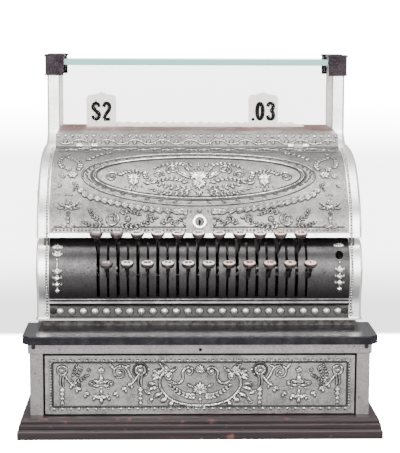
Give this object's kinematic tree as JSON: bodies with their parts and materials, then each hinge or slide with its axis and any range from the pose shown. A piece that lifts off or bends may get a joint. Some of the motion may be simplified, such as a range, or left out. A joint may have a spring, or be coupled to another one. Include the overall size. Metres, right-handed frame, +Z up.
{
  "type": "cash register",
  "caption": "Antique table-top cash register: wooden plinth, drawer under a stone shelf, two rows of lever keys, curved ornamented lid and a glazed indicator with pop-up amount flags.",
  "frame": {"origin": "centre of the plinth's underside", "axes": "+X to the operator's right, +Y from the operator's side to the back, +Z up"},
  "size_m": [0.432, 0.406, 0.446],
  "materials": {
    "dark_wood": "dark mahogany with worn varnish",
    "drawer_wood": "plain oiled hardwood",
    "aged_nickel": "nickel plate over a cast ornamented metal, dull with dark recesses",
    "bright_nickel": "nickel plate, still bright, with handling marks",
    "dark_steel": "dark oiled steel",
    "bright_steel": "turned steel",
    "key_steel": "dark steel lever, plated cap, printed disc",
    "black_stone": "polished black stone",
    "worn_copper": "plating worn through to copper",
    "clear_glass": "clear plate glass, green at the edge",
    "flag_enamel": "cream enamel with black figures"
  },
  "bodies": {
    "cabinet": {"plinth": "dark_wood", "case_left_wall": "aged_nickel", "case_right_wall": "aged_nickel", "case_back_wall": "aged_nickel", "case_top_rail": "aged_nickel", "case_deck": "dark_steel", "drawer_runners": "dark_steel", "case_screws": "bright_nickel", "stone_shelf": "black_stone", "upper_base_frame": "dark_steel", "upper_base_strip": "bright_nickel", "upper_left_side": "bright_nickel", "upper_right_side": "bright_nickel", "upper_back_cover": "aged_nickel", "stud_moulding": "aged_nickel", "moulding_studs": "bright_nickel", "key_plate": "aged_nickel", "key_shaft": "bright_steel", "mechanism_frame": "dark_steel", "key_stop_bars": "dark_steel", "lid_hinges": "bright_nickel", "hinge_rail": "aged_nickel", "indicator_sill": "worn_copper", "indicator_corner_caps": "aged_nickel", "top_glass": "clear_glass", "front_glass": "clear_glass", "rear_glass": "clear_glass", "flags_lowered": "flag_enamel"},
    "drawer": {"drawer_front": "aged_nickel", "drawer_front_screws": "dark_steel", "drawer_tray": "drawer_wood", "drawer_coin_cups": "drawer_wood"},
    "lid": {"lid": "aged_nickel", "lid_bottom_strip": "bright_nickel", "lock_ring": "bright_nickel"},
    "lock_plug": {"lock_plug": "bright_steel"},
    "flag_left": {"flag_raised_left": "flag_enamel"},
    "flag_right": {"flag_raised_right": "flag_enamel"},
    "key_upper_1": {"key_upper_1": "key_steel"},
    "key_lower_1": {"key_lower_1": "key_steel"},
    "key_upper_2": {"key_upper_2": "key_steel"},
    "key_lower_2": {"key_lower_2": "key_steel"},
    "key_upper_3": {"key_upper_3": "key_steel"},
    "key_lower_3": {"key_lower_3": "key_steel"},
    "key_upper_4": {"key_upper_4": "key_steel"},
    "key_lower_4": {"key_lower_4": "key_steel"},
    "key_upper_5": {"key_upper_5": "key_steel"},
    "key_lower_5": {"key_lower_5": "key_steel"},
    "key_upper_6": {"key_upper_6": "key_steel"},
    "key_lower_6": {"key_lower_6": "key_steel"},
    "key_upper_7": {"key_upper_7": "key_steel"},
    "key_lower_7": {"key_lower_7": "key_steel"},
    "key_upper_8": {"key_upper_8": "key_steel"},
    "key_lower_8": {"key_lower_8": "key_steel"},
    "key_upper_9": {"key_upper_9": "key_steel"},
    "key_lower_9": {"key_lower_9": "key_steel"},
    "key_upper_10": {"key_upper_10": "key_steel"},
    "key_lower_10": {"key_lower_10": "key_steel"},
    "key_upper_11": {"key_upper_11": "key_steel"},
    "key_lower_11": {"key_lower_11": "key_steel"}
  },
  "joints": [
    {"name": "drawer_slide", "type": "slide", "parent": "cabinet", "child": "drawer", "axis": [0, -1, 0], "range_m": [0, 0.25]},
    {"name": "lid_hinge", "type": "hinge", "parent": "cabinet", "child": "lid", "pos_m": [0, -0.013, 0.3315], "axis": [-1, 0, 0], "range_deg": [0, 110]},
    {"name": "lock_turn", "type": "hinge", "parent": "lid", "child": "lock_plug", "pos_m": [0, -0.12751, 0.249], "axis": [0, -0.9472, 0.3208], "range_deg": [0, 90]},
    {"name": "flag_left_slide", "type": "slide", "parent": "cabinet", "child": "flag_left", "axis": [0, 0, 1], "range_m": [-0.04, 0]},
    {"name": "flag_right_slide", "type": "slide", "parent": "cabinet", "child": "flag_right", "axis": [0, 0, 1], "range_m": [-0.04, 0]},
    {"name": "key_upper_1_press", "type": "hinge", "parent": "cabinet", "child": "key_upper_1", "pos_m": [-0.12201, -0.083, 0.185], "axis": [1, 0, 0], "range_deg": [0, 12.5], "stiffness_Nm_per_rad": 0.5, "springref_deg": -11.46},
    {"name": "key_lower_1_press", "type": "hinge", "parent": "cabinet", "child": "key_lower_1", "pos_m": [-0.11009, -0.083, 0.185], "axis": [1, 0, 0], "range_deg": [0, 12.5], "stiffness_Nm_per_rad": 0.5, "springref_deg": -11.46},
    {"name": "key_upper_2_press", "type": "hinge", "parent": "cabinet", "child": "key_upper_2", "pos_m": [-0.09816, -0.083, 0.185], "axis": [1, 0, 0], "range_deg": [0, 12.5], "stiffness_Nm_per_rad": 0.5, "springref_deg": -11.46},
    {"name": "key_lower_2_press", "type": "hinge", "parent": "cabinet", "child": "key_lower_2", "pos_m": [-0.08622, -0.083, 0.185], "axis": [1, 0, 0], "range_deg": [0, 12.5], "stiffness_Nm_per_rad": 0.5, "springref_deg": -11.46},
    {"name": "key_upper_3_press", "type": "hinge", "parent": "cabinet", "child": "key_upper_3", "pos_m": [-0.07429, -0.083, 0.185], "axis": [1, 0, 0], "range_deg": [0, 12.5], "stiffness_Nm_per_rad": 0.5, "springref_deg": -11.46},
    {"name": "key_lower_3_press", "type": "hinge", "parent": "cabinet", "child": "key_lower_3", "pos_m": [-0.06236, -0.083, 0.185], "axis": [1, 0, 0], "range_deg": [0, 12.5], "stiffness_Nm_per_rad": 0.5, "springref_deg": -11.46},
    {"name": "key_upper_4_press", "type": "hinge", "parent": "cabinet", "child": "key_upper_4", "pos_m": [-0.05044, -0.083, 0.185], "axis": [1, 0, 0], "range_deg": [0, 12.5], "stiffness_Nm_per_rad": 0.5, "springref_deg": -11.46},
    {"name": "key_lower_4_press", "type": "hinge", "parent": "cabinet", "child": "key_lower_4", "pos_m": [-0.0385, -0.083, 0.185], "axis": [1, 0, 0], "range_deg": [0, 12.5], "stiffness_Nm_per_rad": 0.5, "springref_deg": -11.46},
    {"name": "key_upper_5_press", "type": "hinge", "parent": "cabinet", "child": "key_upper_5", "pos_m": [-0.02658, -0.083, 0.185], "axis": [1, 0, 0], "range_deg": [0, 12.5], "stiffness_Nm_per_rad": 0.5, "springref_deg": -11.46},
    {"name": "key_lower_5_press", "type": "hinge", "parent": "cabinet", "child": "key_lower_5", "pos_m": [-0.01465, -0.083, 0.185], "axis": [1, 0, 0], "range_deg": [0, 12.5], "stiffness_Nm_per_rad": 0.5, "springref_deg": -11.46},
    {"name": "key_upper_6_press", "type": "hinge", "parent": "cabinet", "child": "key_upper_6", "pos_m": [-0.00271, -0.083, 0.185], "axis": [1, 0, 0], "range_deg": [0, 12.5], "stiffness_Nm_per_rad": 0.5, "springref_deg": -11.46},
    {"name": "key_lower_6_press", "type": "hinge", "parent": "cabinet", "child": "key_lower_6", "pos_m": [0.00921, -0.083, 0.185], "axis": [1, 0, 0], "range_deg": [0, 12.5], "stiffness_Nm_per_rad": 0.5, "springref_deg": -11.46},
    {"name": "key_upper_7_press", "type": "hinge", "parent": "cabinet", "child": "key_upper_7", "pos_m": [0.02115, -0.083, 0.185], "axis": [1, 0, 0], "range_deg": [0, 12.5], "stiffness_Nm_per_rad": 0.5, "springref_deg": -11.46},
    {"name": "key_lower_7_press", "type": "hinge", "parent": "cabinet", "child": "key_lower_7", "pos_m": [0.03308, -0.083, 0.185], "axis": [1, 0, 0], "range_deg": [0, 12.5], "stiffness_Nm_per_rad": 0.5, "springref_deg": -11.46},
    {"name": "key_upper_8_press", "type": "hinge", "parent": "cabinet", "child": "key_upper_8", "pos_m": [0.04501, -0.083, 0.185], "axis": [1, 0, 0], "range_deg": [0, 12.5], "stiffness_Nm_per_rad": 0.5, "springref_deg": -11.46},
    {"name": "key_lower_8_press", "type": "hinge", "parent": "cabinet", "child": "key_lower_8", "pos_m": [0.05693, -0.083, 0.185], "axis": [1, 0, 0], "range_deg": [0, 12.5], "stiffness_Nm_per_rad": 0.5, "springref_deg": -11.46},
    {"name": "key_upper_9_press", "type": "hinge", "parent": "cabinet", "child": "key_upper_9", "pos_m": [0.06886, -0.083, 0.185], "axis": [1, 0, 0], "range_deg": [0, 12.5], "stiffness_Nm_per_rad": 0.5, "springref_deg": -11.46},
    {"name": "key_lower_9_press", "type": "hinge", "parent": "cabinet", "child": "key_lower_9", "pos_m": [0.0808, -0.083, 0.185], "axis": [1, 0, 0], "range_deg": [0, 12.5], "stiffness_Nm_per_rad": 0.5, "springref_deg": -11.46},
    {"name": "key_upper_10_press", "type": "hinge", "parent": "cabinet", "child": "key_upper_10", "pos_m": [0.09273, -0.083, 0.185], "axis": [1, 0, 0], "range_deg": [0, 12.5], "stiffness_Nm_per_rad": 0.5, "springref_deg": -11.46},
    {"name": "key_lower_10_press", "type": "hinge", "parent": "cabinet", "child": "key_lower_10", "pos_m": [0.10465, -0.083, 0.185], "axis": [1, 0, 0], "range_deg": [0, 12.5], "stiffness_Nm_per_rad": 0.5, "springref_deg": -11.46},
    {"name": "key_upper_11_press", "type": "hinge", "parent": "cabinet", "child": "key_upper_11", "pos_m": [0.11658, -0.083, 0.185], "axis": [1, 0, 0], "range_deg": [0, 12.5], "stiffness_Nm_per_rad": 0.5, "springref_deg": -11.46},
    {"name": "key_lower_11_press", "type": "hinge", "parent": "cabinet", "child": "key_lower_11", "pos_m": [0.12851, -0.083, 0.185], "axis": [1, 0, 0], "range_deg": [0, 12.5], "stiffness_Nm_per_rad": 0.5, "springref_deg": -11.46}
  ]
}
